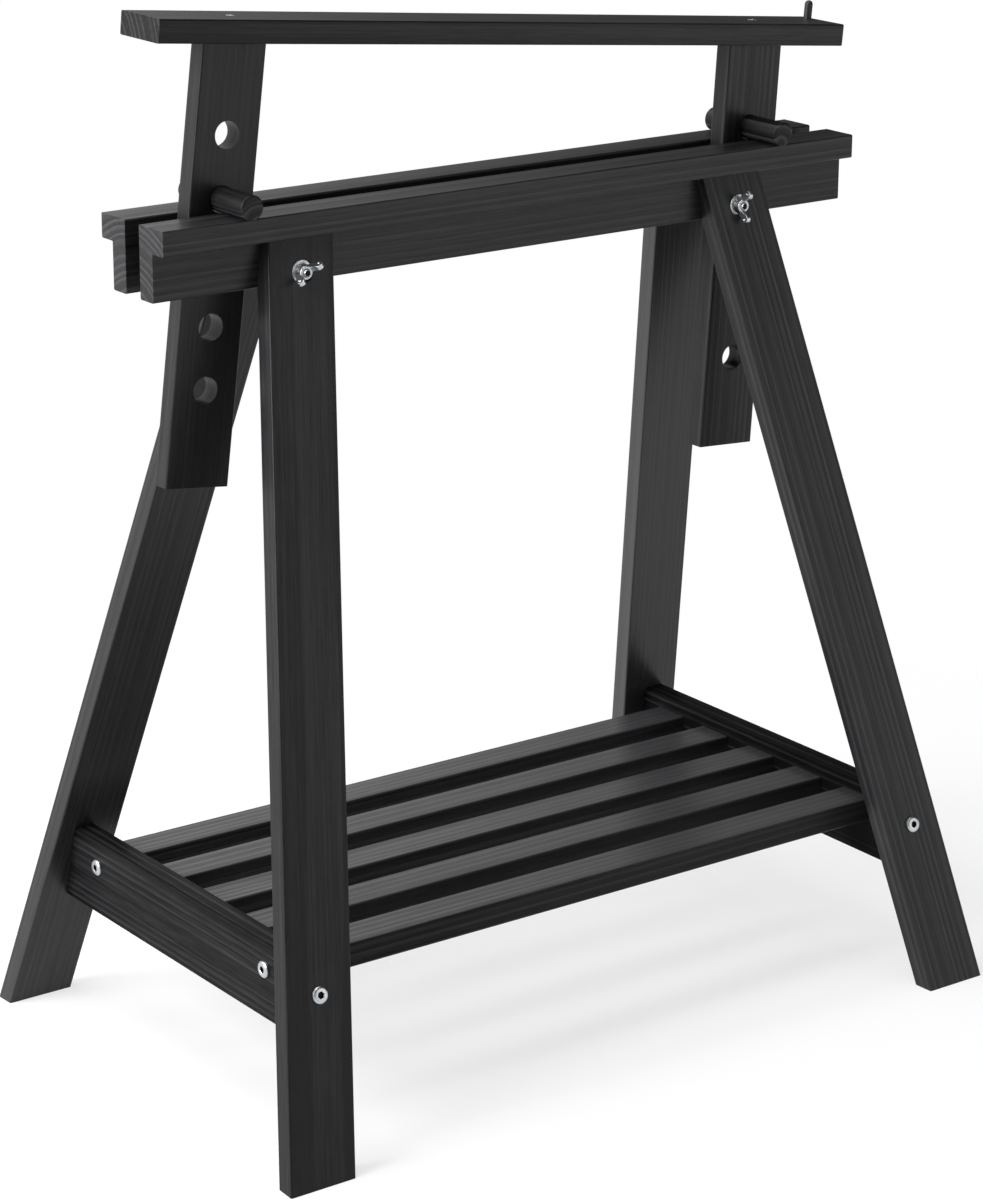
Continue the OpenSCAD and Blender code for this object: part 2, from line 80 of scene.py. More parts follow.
# Black-stained pine, planed and given a dull seal: the stain sinks into the soft early wood and leaves the hard late
# wood a little lighter, so thin uneven lines run along each board, with short fibres and faint clouds over them.
pine = {
    "early": "#0d0d0e",
    "late": "#38383a",
    "ringMm": 6.8,                      # growth of one year
    "spellYears": 2.2, "uneven": 2.6,   # good and bad spells: how long they last and how much they differ
    "lateFrom": 0.35, "lateFull": 0.88, "lateEnd": 0.92,  # late wood within a year, which ends sharply
    "faintest": 0.25,                   # the weakest ring
    "swayMm": 2.0,                      # how far the rings wander along a board
    "sway": {"longMm": 450, "wideMm": 55, "detail": 2.0},
    "fibre": {"longMm": 30, "wideMm": 1.1, "detail": 3.0},    # bundles, drawn a little coarse so that they show
    "streak": {"longMm": 210, "wideMm": 2.4, "detail": 2.0},  # where the brush left more stain
    "cloud": {"longMm": 200, "wideMm": 33, "detail": 3.0},    # uneven drying
    "patchy": 0.6,                      # roughness of these four patterns
    "shares": {"fibre": 0.75, "streak": 0.75, "cloud": 0.45},
    "level": -0.62,                     # brings the sum of the patterns to mostly dark
    "reliefMm": 0.12, "relief": 0.5, "fibreRelief": 0.6,      # late wood stands up after brushing
    "rough": 0.42, "smooth": 0.3,       # seal on early and on late wood
    "rubMm": 0.8, "rubLate": 1.5, "rubAll": 0.4,              # a rubbed face, shiniest on the late wood
    "endMm": 1.2, "endRings": 0.6,      # rings stand out on the sawn ends
}


def stainedPine(name, along, face, centre, half, reach, look):
    along = Vector(along).normalized()
    across = Vector(face).normalized().cross(along)
    turn = Matrix((along, across, along.cross(across)))  # turns the scene into the board's own axes
    heart = Vector((0, look["heart"][0] * mm, look["heart"][1] * mm))  # the tree's heart lies beside the board
    material, tree = newMaterial(name)
    coords = addNode(tree, "ShaderNodeTexCoord")
    board = addNode(tree, "ShaderNodeMapping", {}, {"Vector": coords.outputs["Object"],
                                                     "Rotation": turn.to_euler("XYZ"),
                                                     "Location": heart - turn @ centre})

    def grain(pattern):  # noise drawn out along the board
        fine = 1 / (pattern["wideMm"] * mm)
        drawn = addNode(tree, "ShaderNodeMapping", {}, {"Vector": board,
                                                         "Scale": (1 / (pattern["longMm"] * mm), fine, fine)})
        return addNode(tree, "ShaderNodeTexNoise", {}, {"Vector": drawn, "Scale": 1.0, "Detail": pattern["detail"],
                                                         "Roughness": pine["patchy"]})

    flat = addNode(tree, "ShaderNodeVectorMath", times, {0: board, 1: (0, 1, 1)})
    radius = addNode(tree, "ShaderNodeVectorMath", {"operation": "LENGTH"}, {0: flat})
    wander = addNode(tree, "ShaderNodeMath", timesPlus,
                     {0: grain(pine["sway"]), 1: 2 * pine["swayMm"] * mm, 2: radius.outputs["Value"]})
    spell = addNode(tree, "ShaderNodeTexNoise", {"noise_dimensions": "1D"},
                    {"W": wander, "Scale": 1 / (pine["spellYears"] * pine["ringMm"] * mm), "Detail": 1.0})
    even = addNode(tree, "ShaderNodeMath", {"operation": "DIVIDE"}, {0: wander, 1: pine["ringMm"] * mm})
    age = addNode(tree, "ShaderNodeMath", timesPlus, {0: spell, 1: pine["uneven"], 2: even})
    season = addNode(tree, "ShaderNodeMath", {"operation": "FRACT"}, {0: age})
    year = addNode(tree, "ShaderNodeMath", {"operation": "FLOOR"}, {0: age})
    vigour = addNode(tree, "ShaderNodeTexWhiteNoise", {"noise_dimensions": "1D"}, {"W": year})
    strength = addNode(tree, "ShaderNodeMath", timesPlus,
                       {0: vigour.outputs["Value"], 1: 1 - pine["faintest"], 2: pine["faintest"]})
    rise = addNode(tree, "ShaderNodeMapRange", soft,
                   {"Value": season, "From Min": pine["lateFrom"], "From Max": pine["lateFull"]})
    stop = addNode(tree, "ShaderNodeMapRange", soft, {"Value": season, "From Min": 1.0, "From Max": pine["lateEnd"]})
    line = addNode(tree, "ShaderNodeMath", times, {0: rise, 1: stop})
    late = addNode(tree, "ShaderNodeMath", times, {0: line, 1: strength})

    place = addNode(tree, "ShaderNodeSeparateXYZ", {}, {0: board})
    off = addNode(tree, "ShaderNodeMath", {"operation": "ABSOLUTE"}, {0: place.outputs["X"]})
    sawn = addNode(tree, "ShaderNodeMapRange", soft,
                   {"Value": off, "From Min": reach - pine["endMm"] * mm, "From Max": reach})
    rings = addNode(tree, "ShaderNodeMath", timesPlus, {0: sawn, 1: pine["endRings"], 2: look["rings"]})
    ground = addNode(tree, "ShaderNodeMath", timesPlus,
                     {0: place.outputs["X"], 1: look["fade"], 2: look["tone"] + pine["level"]})
    taken = addNode(tree, "ShaderNodeMath", timesPlus, {0: late, 1: rings, 2: ground})
    patterns = {key: grain(pine[key]) for key in pine["shares"]}
    for key, share in pine["shares"].items():
        taken = addNode(tree, "ShaderNodeMath", timesPlus, {0: patterns[key], 1: share, 2: taken})
    taken.use_clamp = True  # from all early wood to all late wood
    colour = addNode(tree, "ShaderNodeMix", rgba, {0: taken, 6: linear(pine["early"]), 7: linear(pine["late"])})
    gloss = addNode(tree, "ShaderNodeMapRange", {}, {"Value": taken, "To Min": pine["rough"], "To Max": pine["smooth"]})
    sheen = look["sheen"]
    if look["polish"]:
        rubbed = addNode(tree, "ShaderNodeMapRange", soft,
                         {"Value": place.outputs["Z"], "From Min": heart.z + half - pine["rubMm"] * mm,
                          "From Max": heart.z + half})
        wear = addNode(tree, "ShaderNodeMath", timesPlus,
                       {0: taken, 1: pine["rubLate"] * look["polish"], 2: pine["rubAll"] * look["polish"]})
        sheen = addNode(tree, "ShaderNodeMath", timesPlus, {0: rubbed, 1: wear, 2: sheen})
    height = addNode(tree, "ShaderNodeMath", timesPlus, {0: patterns["fibre"], 1: pine["fibreRelief"], 2: late})
    relief = addNode(tree, "ShaderNodeBump", {}, {"Strength": pine["relief"], "Distance": pine["reliefMm"] * mm,
                                                   "Height": height})
    wood = addNode(tree, "ShaderNodeBsdfPrincipled", {}, {"Base Color": colour.outputs[2], "Roughness": gloss,
                                                           "Normal": relief, "Specular IOR Level": sheen})
    addNode(tree, "ShaderNodeOutputMaterial", {}, {"Surface": wood})
    return material


# Bright zinc plate on pressed or turned steel: a pale neutral mirror, softened by fine crystals and handling.
# Inside the sockets and in the dished ends of the leg bolts, a near-black steel is painted shade so that they read as
# dark holes.
metals = {
    "brightZincPlate": {"bright": "#d2d4d6", "dull": "#a6a9ac", "crystalMm": 1.6, "smearMm": 9, "gloss": (0.23, 0.46)},
    # near-black steel: painted shade for the sockets and the dished bolt ends
    "oiledSteel": {"bright": "#2a2a2b", "dull": "#101011", "crystalMm": 0.8, "smearMm": 3, "gloss": (0.4, 0.6)},
}
steelSurface = {"crystalDetail": 4.0, "smearDetail": 2.0, "pitMm": 0.03, "pits": 0.25}  # the same on both


def steelMaterial(name):
    look = metals[name]
    material, tree = newMaterial(name)
    coords = addNode(tree, "ShaderNodeTexCoord")
    crystal, smear = (
        addNode(tree, "ShaderNodeTexNoise", {}, {"Vector": coords.outputs["Object"], "Detail": steelSurface[key + "Detail"],
                                                  "Scale": 1 / (look[key + "Mm"] * mm)})
        for key in ("crystal", "smear"))
    colour = addNode(tree, "ShaderNodeMix", rgba, {0: smear, 6: linear(look["bright"]), 7: linear(look["dull"])})
    gloss = addNode(tree, "ShaderNodeMapRange", {}, {"Value": crystal, "To Min": look["gloss"][0],
                                                      "To Max": look["gloss"][1]})
    relief = addNode(tree, "ShaderNodeBump", {}, {"Strength": steelSurface["pits"], "Distance": steelSurface["pitMm"] * mm,
                                                   "Height": crystal})
    metal = addNode(tree, "ShaderNodeBsdfPrincipled", {}, {"Base Color": colour.outputs[2], "Metallic": 1.0,
                                                            "Roughness": gloss, "Normal": relief})
    addNode(tree, "ShaderNodeOutputMaterial", {}, {"Surface": metal})
    return material


# Bare beech dowel, turned and left unfinished: warm and pale with short dark flecks.
beech = {"ground": "#cfa777", "fleck": "#a97d50", "fleckMm": 0.7, "fleckDetail": 3.0, "rough": 0.7}


def bareBeech():
    material, tree = newMaterial("bareBeech")
    coords = addNode(tree, "ShaderNodeTexCoord")
    fleck = addNode(tree, "ShaderNodeTexNoise", {}, {"Vector": coords.outputs["Object"], "Detail": beech["fleckDetail"],
                                                      "Scale": 1 / (beech["fleckMm"] * mm)})
    colour = addNode(tree, "ShaderNodeMix", rgba, {0: fleck, 6: linear(beech["ground"]), 7: linear(beech["fleck"])})
    wood = addNode(tree, "ShaderNodeBsdfPrincipled", {}, {"Base Color": colour.outputs[2], "Roughness": beech["rough"]})
    addNode(tree, "ShaderNodeOutputMaterial", {}, {"Surface": wood})
    return material


def pieceFromMesh(name, mesh, body, materialSlot, *replaced):  # link a finished mesh and tie it to the frame
    piece = bpy.data.objects.new(name, mesh)
    bpy.context.scene.collection.objects.link(piece)
    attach(piece, body)
    if replaced:
        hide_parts(*replaced)
    return piece


def evaluatedMesh(name, maker):  # what the modifiers give, as a plain mesh, and the maker is thrown away
    bpy.context.view_layer.update()
    mesh = bpy.data.meshes.new_from_object(maker.evaluated_get(bpy.context.evaluated_depsgraph_get()))
    raw = maker.data
    bpy.data.objects.remove(maker)
    bpy.data.meshes.remove(raw)
    mesh.name = name
    return mesh


easing = {"mergeMm": 0.002, "flatDeg": 0.4, "sharpDeg": 38, "steps": 2, "flatWeight": 100}


def softened(node, name, easeMm):  # merged copy of a CAD solid whose sharp ends and rims are rubbed down
    bm = bmesh.new()
    bm.from_mesh(nodes[node].data)
    bmesh.ops.remove_doubles(bm, verts=bm.verts, dist=easing["mergeMm"] * mm)
    bmesh.ops.dissolve_limit(bm, angle_limit=math.radians(easing["flatDeg"]), verts=bm.verts, edges=bm.edges)
    bm.verts.index_update()
    mesh = bpy.data.meshes.new(name)
    mesh.from_pydata([v.co for v in bm.verts], [], [[v.index for v in f.verts] for f in bm.faces])
    bm.free()
    mesh.shade_smooth()
    maker = bpy.data.objects.new(name + "Maker", mesh)
    bpy.context.scene.collection.objects.link(maker)
    ease = maker.modifiers.new("ease", "BEVEL")
    ease.width = easeMm * mm
    ease.segments = easing["steps"]
    ease.limit_method = "ANGLE"
    ease.angle_limit = math.radians(easing["sharpDeg"])
    ease.miter_outer = "MITER_ARC"
    flats = maker.modifiers.new("flats", "WEIGHTED_NORMAL")
    flats.weight = easing["flatWeight"]
    return evaluatedMesh(name, maker)


def camel(node):
    head, *rest = node.split("_")
    return head + "".join(word.capitalize() for word in rest)


# Every board's look. heart: the tree's middle, across and behind the board, in mm. rings: how much they show.
# tone: lighter or darker. fade: tone gained in each metre along. sheen: strength of the seal's reflections.
# polish: what is added to it on the outer face, which is rubbed by what stands on it.
boardLook = {"sheen": 0.245, "fade": 0.0, "polish": 0.0, "easeMm": 0.6}  # where a board doesn't say


def makeBoard(node, body, along, face, ownLook):
    look = {**boardLook, **ownLook}
    low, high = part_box(node)
    centre = (low + high) / 2
    mesh = softened(node, camel(node), look["easeMm"])
    reach = max(abs((vert.co - centre).dot(Vector(along).normalized())) for vert in mesh.vertices)
    half = abs((high - low).dot(Vector(face))) / 2
    mesh.materials.append(stainedPine("stainedPine." + camel(node), along, face, centre, half, reach, look))
    return pieceFromMesh(mesh.name, mesh, body, "stained_pine", node)


# Rails: one rabbeted board on each side of the slot, and the blocks that keep it open
rails = {
    "front_rail": {"heart": (62, 34), "rings": 0.5, "tone": -0.1},
    "back_rail": {"heart": (-66, 30), "rings": 0.5, "tone": -0.08},
}
for node, look in rails.items():
    makeBoard(node, "base", (1, 0, 0), (0, -1 if node == "front_rail" else 1, 0), look)

spacers = {
    "left_spacer": {"heart": (9, 40), "rings": 0.4, "tone": -0.1},
    "right_spacer": {"heart": (-12, 36), "rings": 0.4, "tone": -0.1},
}
for node, look in spacers.items():
    makeBoard(node, "base", (1, 0, 0), (0, -1, 0), look)
print("rails and spacer blocks made")

# Legs: raked to front and back, leaning sideways within their own faces
legs = {
    "rake": 15.5,
    "lean": 9.1,
    "boards": {
        # The front left leg's fade is painted shade: darker towards the foot, where less light falls.
        "front_left_leg": {"heart": (-6, 120), "rings": 0.22, "tone": -0.2, "sheen": 0.21, "fade": -0.5},
        "front_right_leg": {"heart": (74, 30), "rings": 0.75, "tone": -0.16, "sheen": 0.27},
        "back_left_leg": {"heart": (-64, 40), "rings": 0.42, "tone": 0.05, "sheen": 0.31},
        # The back right leg's light tone is painted light: its inner face is lit by the bright floor below it.
        "back_right_leg": {"heart": (-70, 24), "rings": 0.7, "tone": 0.5, "sheen": 0.33},
    },
}
rake, lean = math.radians(legs["rake"]), math.radians(legs["lean"])
for node, look in legs["boards"].items():
    front = -1 if node.startswith("front") else 1
    side = -1 if "left" in node else 1
    along = (side * math.tan(lean) / math.cos(rake), front * math.tan(rake), -1)
    makeBoard(node, "base", along, (0, front * math.cos(rake), math.sin(rake)), look)
print("legs made")

# Shelf: crossbars on edge, slats lying flat between them
shelf = {
    # The crossbars' low tones are painted shade: little light reaches them so near the floor, and the slats shade the
    # right one's inner face.
    "crossbars": {
        "left_crossbar": {"heart": (60, 26), "rings": 0.45, "tone": -0.28, "sheen": 0.04},
        "right_crossbar": {"heart": (-58, 30), "rings": 0.5, "tone": -0.45, "sheen": 0.03},
    },
    "slat": {"rings": 0.6, "tone": 0.15, "sheen": 0.06, "fade": 0.75, "polish": 1.02},
    "slatHearts": [(40, 30), (-46, 34), (52, 24), (-38, 40), (44, 28)],  # slats 1 to 5
}
for node, look in shelf["crossbars"].items():
    makeBoard(node, "base", (0, 1, 0), (-1 if "left" in node else 1, 0, 0), look)
for i, heart in enumerate(shelf["slatHearts"]):
    makeBoard("shelf_slat_" + str(i + 1), "base", (1, 0, 0), (0, 0, 1), {"heart": heart, **shelf["slat"]})
print("shelf made")

# Top frame: the bar slopes with the pegs, the uprights spread a little towards their lower ends
topFrame = {
    "tilt": 5.4116,
    "splay": 1.65,
    "bar": {"heart": (-56, 30), "rings": 0.4, "tone": -0.2, "sheen": 0.19, "fade": 0.65, "polish": 0.17},
    "uprights": {
        "left_upright": {"heart": (-4, 110), "rings": 0.26, "tone": -0.15},
        "right_upright": {"heart": (68, 26), "rings": 0.8, "tone": -0.17},
    },
    "stopPin": {"heart": (3, 9), "rings": 0.4, "tone": 0.05, "easeMm": 0.2},
}
tilt, splay = math.radians(topFrame["tilt"]), math.radians(topFrame["splay"])
barUp = Vector((math.sin(tilt), 0, math.cos(tilt)))
barAlong = Vector((math.cos(tilt), 0, -math.sin(tilt)))
makeBoard("top_bar", "top_frame", barAlong, barUp, topFrame["bar"])
for node, look in topFrame["uprights"].items():
    side = -1 if node.startswith("left") else 1
    down = barAlong * side * math.sin(splay) - barUp * math.cos(splay)
    makeBoard(node, "top_frame", down, (0, -1, 0), look)
makeBoard("stop_pin", "top_frame", barUp, (0, -1, 0), topFrame["stopPin"])

# Pegs: turned dowels, grain along their length
pegs = {
    "left_peg": {"heart": (5, 14), "rings": 0.9, "tone": -0.25, "sheen": 0.16, "easeMm": 0.4},
    "right_peg": {"heart": (-3, 8), "rings": 1.1, "tone": -0.3, "sheen": 0.16, "easeMm": 0.4},
}
for node, look in pegs.items():
    makeBoard(node, node, (0, 1, 0), (0, 0, 1), look)
print("top frame and pegs made")

zincFinish = steelMaterial("brightZincPlate")
# the painted shade inside the sockets and the dished bolt ends
paintedShadeFinish = steelMaterial("oiledSteel")
beechFinish = bareBeech()
turned = {"steps": 48, "sharpDeg": 28, "threadSteps": 8}  # fineness of what is turned on a lathe


def lathed(name, rings, steps=turned["steps"], closed=False, shadeFrom=None):  # rings: height, radius (also by angle)
    bm = bmesh.new()
    loops = []
    for height, radius in rings:
        loop = []
        for i in range(steps):
            angle = 2 * math.pi * i / steps
            reach = (radius(angle) if callable(radius) else radius) * mm
            loop.append(bm.verts.new((reach * math.cos(angle), reach * math.sin(angle), height * mm)))
        loops.append(loop)
    for low, high in zip(loops, loops[1:] + loops[:1] if closed else loops[1:]):
        for i in range(steps):
            j = (i + 1) % steps
            bm.faces.new((low[i], low[j], high[j], high[i]))
    if not closed:
        bm.faces.new(loops[0])
        bm.faces.new(loops[-1])
    bmesh.ops.recalc_face_normals(bm, faces=bm.faces)
    mesh = bpy.data.meshes.new(name)
    bm.to_mesh(mesh)
    bm.free()
    oiled = mesh.attributes.new("oiled", "BOOLEAN", "FACE")  # faces that get painted shade: from the given ring on, but not the first cap
    for i in range(len(mesh.polygons)):
        oiled.data[i].value = shadeFrom is not None and i >= shadeFrom * steps and i != (len(rings) - 1) * steps
    mesh.shade_smooth()
    mesh.set_sharp_from_angle(angle=math.radians(turned["sharpDeg"]))
    return mesh


def threadRings(low, high, outer, pitch, depth):  # a helical ridge as a height field round the shank
    rings = []
    for k in range(int((high - low) / pitch * turned["threadSteps"]) + 1):
        height = low + k * pitch / turned["threadSteps"]

        def reach(angle, height=height):
            wave = abs(2 * ((height / pitch - angle / (2 * math.pi)) % 1) - 1)
            ends = min(1, (height - low) / pitch, (high - height) / pitch)  # runs out at both ends
            return outer - depth * (1 - wave * max(ends, 0))
        rings.append((height, reach))
    return rings


def fastenerTree():  # stands one fastener on every point, turned to the point's own direction
    tree = bpy.data.node_groups.new("fastenersOnPoints", "GeometryNodeTree")
    for label, kind in (("Points", "Geometry"), ("Fastener", "Object"), ("Finish", "Material"),
                        ("Dark Finish", "Material"), ("Turn Seed", "Int")):
        tree.interface.new_socket(label, in_out="INPUT", socket_type="NodeSocket" + kind)
    tree.interface.new_socket("Fasteners", in_out="OUTPUT", socket_type="NodeSocketGeometry")
    given = addNode(tree, "NodeGroupInput")
    facing = addNode(tree, "GeometryNodeInputNamedAttribute", {"data_type": "FLOAT_VECTOR"}, {"Name": "facing"})
    stand = addNode(tree, "FunctionNodeAlignRotationToVector", {"axis": "Z"}, {"Vector": facing})
    turn = addNode(tree, "FunctionNodeRandomValue", {"data_type": "FLOAT"},
                   {2: 0.0, 3: 2 * math.pi, "Seed": given.outputs["Turn Seed"]})
    spin = addNode(tree, "FunctionNodeAxisAngleToRotation", {}, {"Axis": (0, 0, 1), "Angle": turn.outputs[1]})
    both = addNode(tree, "FunctionNodeRotateRotation", {"rotation_space": "LOCAL"},
                   {"Rotation": stand, "Rotate By": spin})
    shape = addNode(tree, "GeometryNodeObjectInfo", {}, {"Object": given.outputs["Fastener"]})
    placed = addNode(tree, "GeometryNodeInstanceOnPoints", {}, {"Points": given.outputs["Points"], "Rotation": both,
                                                                 "Instance": shape.outputs["Geometry"]})
    real = addNode(tree, "GeometryNodeRealizeInstances", {}, {"Geometry": placed})
    plated = addNode(tree, "GeometryNodeSetMaterial", {}, {"Geometry": real, "Material": given.outputs["Finish"]})
    # faces marked for painted shade get the near-black steel
    oiled = addNode(tree, "GeometryNodeInputNamedAttribute", {"data_type": "BOOLEAN"}, {"Name": "oiled"})
    done = addNode(tree, "GeometryNodeSetMaterial", {}, {"Geometry": plated, "Selection": oiled,
                                                          "Material": given.outputs["Dark Finish"]})
    addNode(tree, "NodeGroupOutput", {}, {"Fasteners": done})
    return tree


fasteners = fastenerTree()
corners = [(side, front) for side in (-1, 1) for front in (-1, 1)]


def fastenerSet(name, body, shape, places, seed, *replaced):  # places are (point, direction) pairs
    sample = bpy.data.objects.new(name + "Sample", shape)
    points = bpy.data.meshes.new(name + "Points")
    points.from_pydata([point for point, way in places], [], [])
    facing = points.attributes.new("facing", "FLOAT_VECTOR", "POINT")
    for i, (point, way) in enumerate(places):
        facing.data[i].vector = way
    maker = bpy.data.objects.new(name + "Maker", points)
    for thing in (sample, maker):
        bpy.context.scene.collection.objects.link(thing)
    field = maker.modifiers.new("fasteners", "NODES")
    field.node_group = fasteners
    values = {"Fastener": sample, "Finish": zincFinish, "Dark Finish": paintedShadeFinish, "Turn Seed": seed}
    for socket in fasteners.interface.items_tree:
        if socket.name in values:
            field[socket.identifier] = values[socket.name]
    mesh = evaluatedMesh(name, maker)
    bpy.data.objects.remove(sample)
    return pieceFromMesh(name, mesh, body, "zinc_plate", *replaced)


# Leg bolts: mushroom head sunk on the slot side, thread that ends just beyond the wing nut. Profiles of all fasteners
# are (height, radius) in mm, and here the tip's are taken from the bolt's end and the shank
legBolt = {
    "head": [(0, 2.5), (0, 5.7), (0.5, 7), (1.3, 7.75), (2, 8), (3.5, 8)],
    "shankR": 3, "sunk": 0.5, "pitch": 1.0, "threadDepth": 0.5, "threadLen": 20, "runIn": 0.4, "runOut": 0.8,
    "tip": [(-0.6, -0.4), (0, -0.7), (-0.5, -1.6)],  # dished, with painted shade on the cut end
    "seed": 3,
}
low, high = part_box("leg_bolts")
headH, headR = legBolt["head"][-1]
boltX, boltZ, tipY = high.x - headR * mm, (low.z + high.z) / 2, high.y
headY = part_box("back_rail")[0].y + legBolt["sunk"] * mm
boltLen = (tipY - headY) / mm
shank, threadAt = legBolt["shankR"], boltLen - legBolt["threadLen"]
profile = legBolt["head"] + [(headH, shank), (threadAt, shank)]
profile += threadRings(threadAt + legBolt["runIn"], boltLen - legBolt["runOut"], shank, legBolt["pitch"],
                       legBolt["threadDepth"])
profile += [(boltLen + height, shank + grow) for height, grow in legBolt["tip"]]
places = [((s * boltX, f * headY, boltZ), (0, f, 0)) for s, f in corners]
# the dished cut end gets painted shade
boltMesh = lathed("legBolt", profile, shadeFrom=len(profile) - 2)
fastenerSet("legBolts", "base", boltMesh, places, legBolt["seed"], "leg_bolts")

# Washers: stamped, so one rim is rounded and the other is sharp
washer = {"outerR": 9, "holeR": 3.3, "thick": 1.6, "roll": 0.35, "rollMid": 0.3, "burr": 0.1, "seed": 5}
outer, hole, thick, roll, burr = (washer[key] for key in ("outerR", "holeR", "thick", "roll", "burr"))
mid = washer["rollMid"] * roll
profile = [(0, hole), (0, outer - burr), (burr, outer), (thick - roll, outer), (thick - mid, outer - mid),
           (thick, outer - roll), (thick, hole + roll), (thick - roll, hole)]
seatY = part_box("leg_washers")[1].y - thick * mm
places = [((s * boltX, f * seatY, boltZ), (0, f, 0)) for s, f in corners]
fastenerSet("legWashers", "base", lathed("legWasher", profile, closed=True), places, washer["seed"], "leg_washers")
print("leg bolts and washers made")

# Socket bolts: low heads with a hexagon socket, through the legs and through the crossbars
socketBolt = {
    "headR": 7, "headH": 3, "shankR": 3, "tip": 0.6, "rim": 0.15,
    "crown": [(0.45, 0), (0.62, 0.12), (0.85, 0.75), (0.95, 1.3), (1, 2)],  # share of the height, mm in from the rim
    "acrossFlats": 5, "socketDepth": 2,
    "leadIn": [(0, 0.45), (0.25, 0.12), (0.5, 0)],  # mm down, mm wider than the socket
    "dip": 0.5, "dipR": 1,                          # drill mark in the socket's floor
    "endLength": 58.5, "endSeed": 11, "shelfLength": 62, "shelfSeed": 7,
}


def hexagon(grow):  # half the width of the hexagon at each angle
    flat, sixth = socketBolt["acrossFlats"] / 2 + grow, math.pi / 3
    return lambda angle: flat / math.cos((angle + sixth / 2) % sixth - sixth / 2)


def socketBoltMesh(name, length):
    rim, high, shank = socketBolt["headR"], socketBolt["headH"], socketBolt["shankR"]
    floor = high - socketBolt["socketDepth"]
    profile = [(-length, shank - socketBolt["tip"]), (-length + socketBolt["tip"], shank), (0, shank),
               (0, rim - socketBolt["rim"]), (socketBolt["rim"], rim)]
    profile += [(high * share, rim - inward) for share, inward in socketBolt["crown"]]
    profile += [(high - down, hexagon(wider)) for down, wider in socketBolt["leadIn"]]
    profile += [(floor, hexagon(0)), (floor - socketBolt["dip"], socketBolt["dipR"])]
    return lathed(name, profile, shadeFrom=len(profile) - 4)  # painted shade from the lead-in down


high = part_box("end_bolts")[1]
headR, headH = socketBolt["headR"] * mm, socketBolt["headH"] * mm
seatY = high.y - headH * math.cos(rake) - (headR - headH / 2) * math.sin(rake)  # heads stand square to the raked legs
seatZ = high.z - headH / 2 * math.sin(rake) - headR * math.cos(rake)
places = [((s * (high.x - headR), f * seatY, seatZ), (0, f * math.cos(rake), math.sin(rake))) for s, f in corners]
boltMesh = socketBoltMesh("endBolt", socketBolt["endLength"])
fastenerSet("endBolts", "base", boltMesh, places, socketBolt["endSeed"], "end_bolts")
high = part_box("shelf_bolts")[1]
seat = Vector((high.x - headH, high.y - headR, high.z - headR))
places = [((s * seat.x, f * seat.y, seat.z), (s, 0, 0)) for s, f in corners]
boltMesh = socketBoltMesh("shelfBolt", socketBolt["shelfLength"])
fastenerSet("shelfBolts", "base", boltMesh, places, socketBolt["shelfSeed"], "shelf_bolts")
print("socket bolts made")

barrelNut = {"easeMm": 0.3}
for node in ("end_barrel_nuts", "shelf_barrel_nuts"):
    mesh = softened(node, camel(node), barrelNut["easeMm"])
    mesh.materials.append(zincFinish)
    pieceFromMesh(camel(node), mesh, "base", "zinc_plate", node)
for node in ("spacer_dowels", "slat_dowels"):
    nodes[node].material_slots[0].material = beechFinish
print("barrel nuts and dowels finished")

# Bar screws: countersunk, flush with the bar, with a low dome and a cross recess. Heights are from the bar's top
barScrew = {
    "tip": [(-55, 0.15), (-49.3, 1.4)],
    "thread": (-49, -24), "threadR": 2.25, "pitch": 2.0, "threadDepth": 0.75,
    "head": [(-23.6, 1.75), (-3.2, 2.2), (-2.6, 2.4), (-0.45, 4.45), (-0.2, 4.5), (-0.05, 4.4), (0.2, 3.8),
             (0.38, 3.1)],
    "headR": 4.5, "apart": 522,
    "armLen": 2.7, "armHalf": 0.55, "recess": [(0.45, 0.12), (0.25, 0), (-1.2, -0.2)],  # height, mm wider than the arms
    "recessFloor": (-2.2, 0.4), "steps": 64, "seed": 4,
}


def crossRecess(grow):  # reach of a plus sign at each angle
    def reach(angle):
        off = abs((angle + math.pi / 4) % (math.pi / 2) - math.pi / 4)
        return min((barScrew["armLen"] + grow) / math.cos(off), (barScrew["armHalf"] + grow) / max(math.sin(off), 0.01))
    return reach


profile = barScrew["tip"] + threadRings(*barScrew["thread"], barScrew["threadR"], barScrew["pitch"],
                                        barScrew["threadDepth"])
profile += barScrew["head"] + [(height, crossRecess(grow)) for height, grow in barScrew["recess"]]
profile.append(barScrew["recessFloor"])
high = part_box("bar_screws")[1]
headR = barScrew["headR"] * mm
rightHead = Vector((high.x - headR * math.cos(tilt), 0, 0))
leftHead = rightHead - barAlong * barScrew["apart"] * mm
lift = Vector((0, 0, high.z - headR * math.sin(tilt) - leftHead.z))  # the left head stands highest
places = [(tuple(head + lift), tuple(barUp)) for head in (leftHead, rightHead)]
screwMesh = lathed("barScrew", profile, steps=barScrew["steps"])
fastenerSet("barScrews", "top_frame", screwMesh, places, barScrew["seed"], "bar_screws")
print("bar screws made")

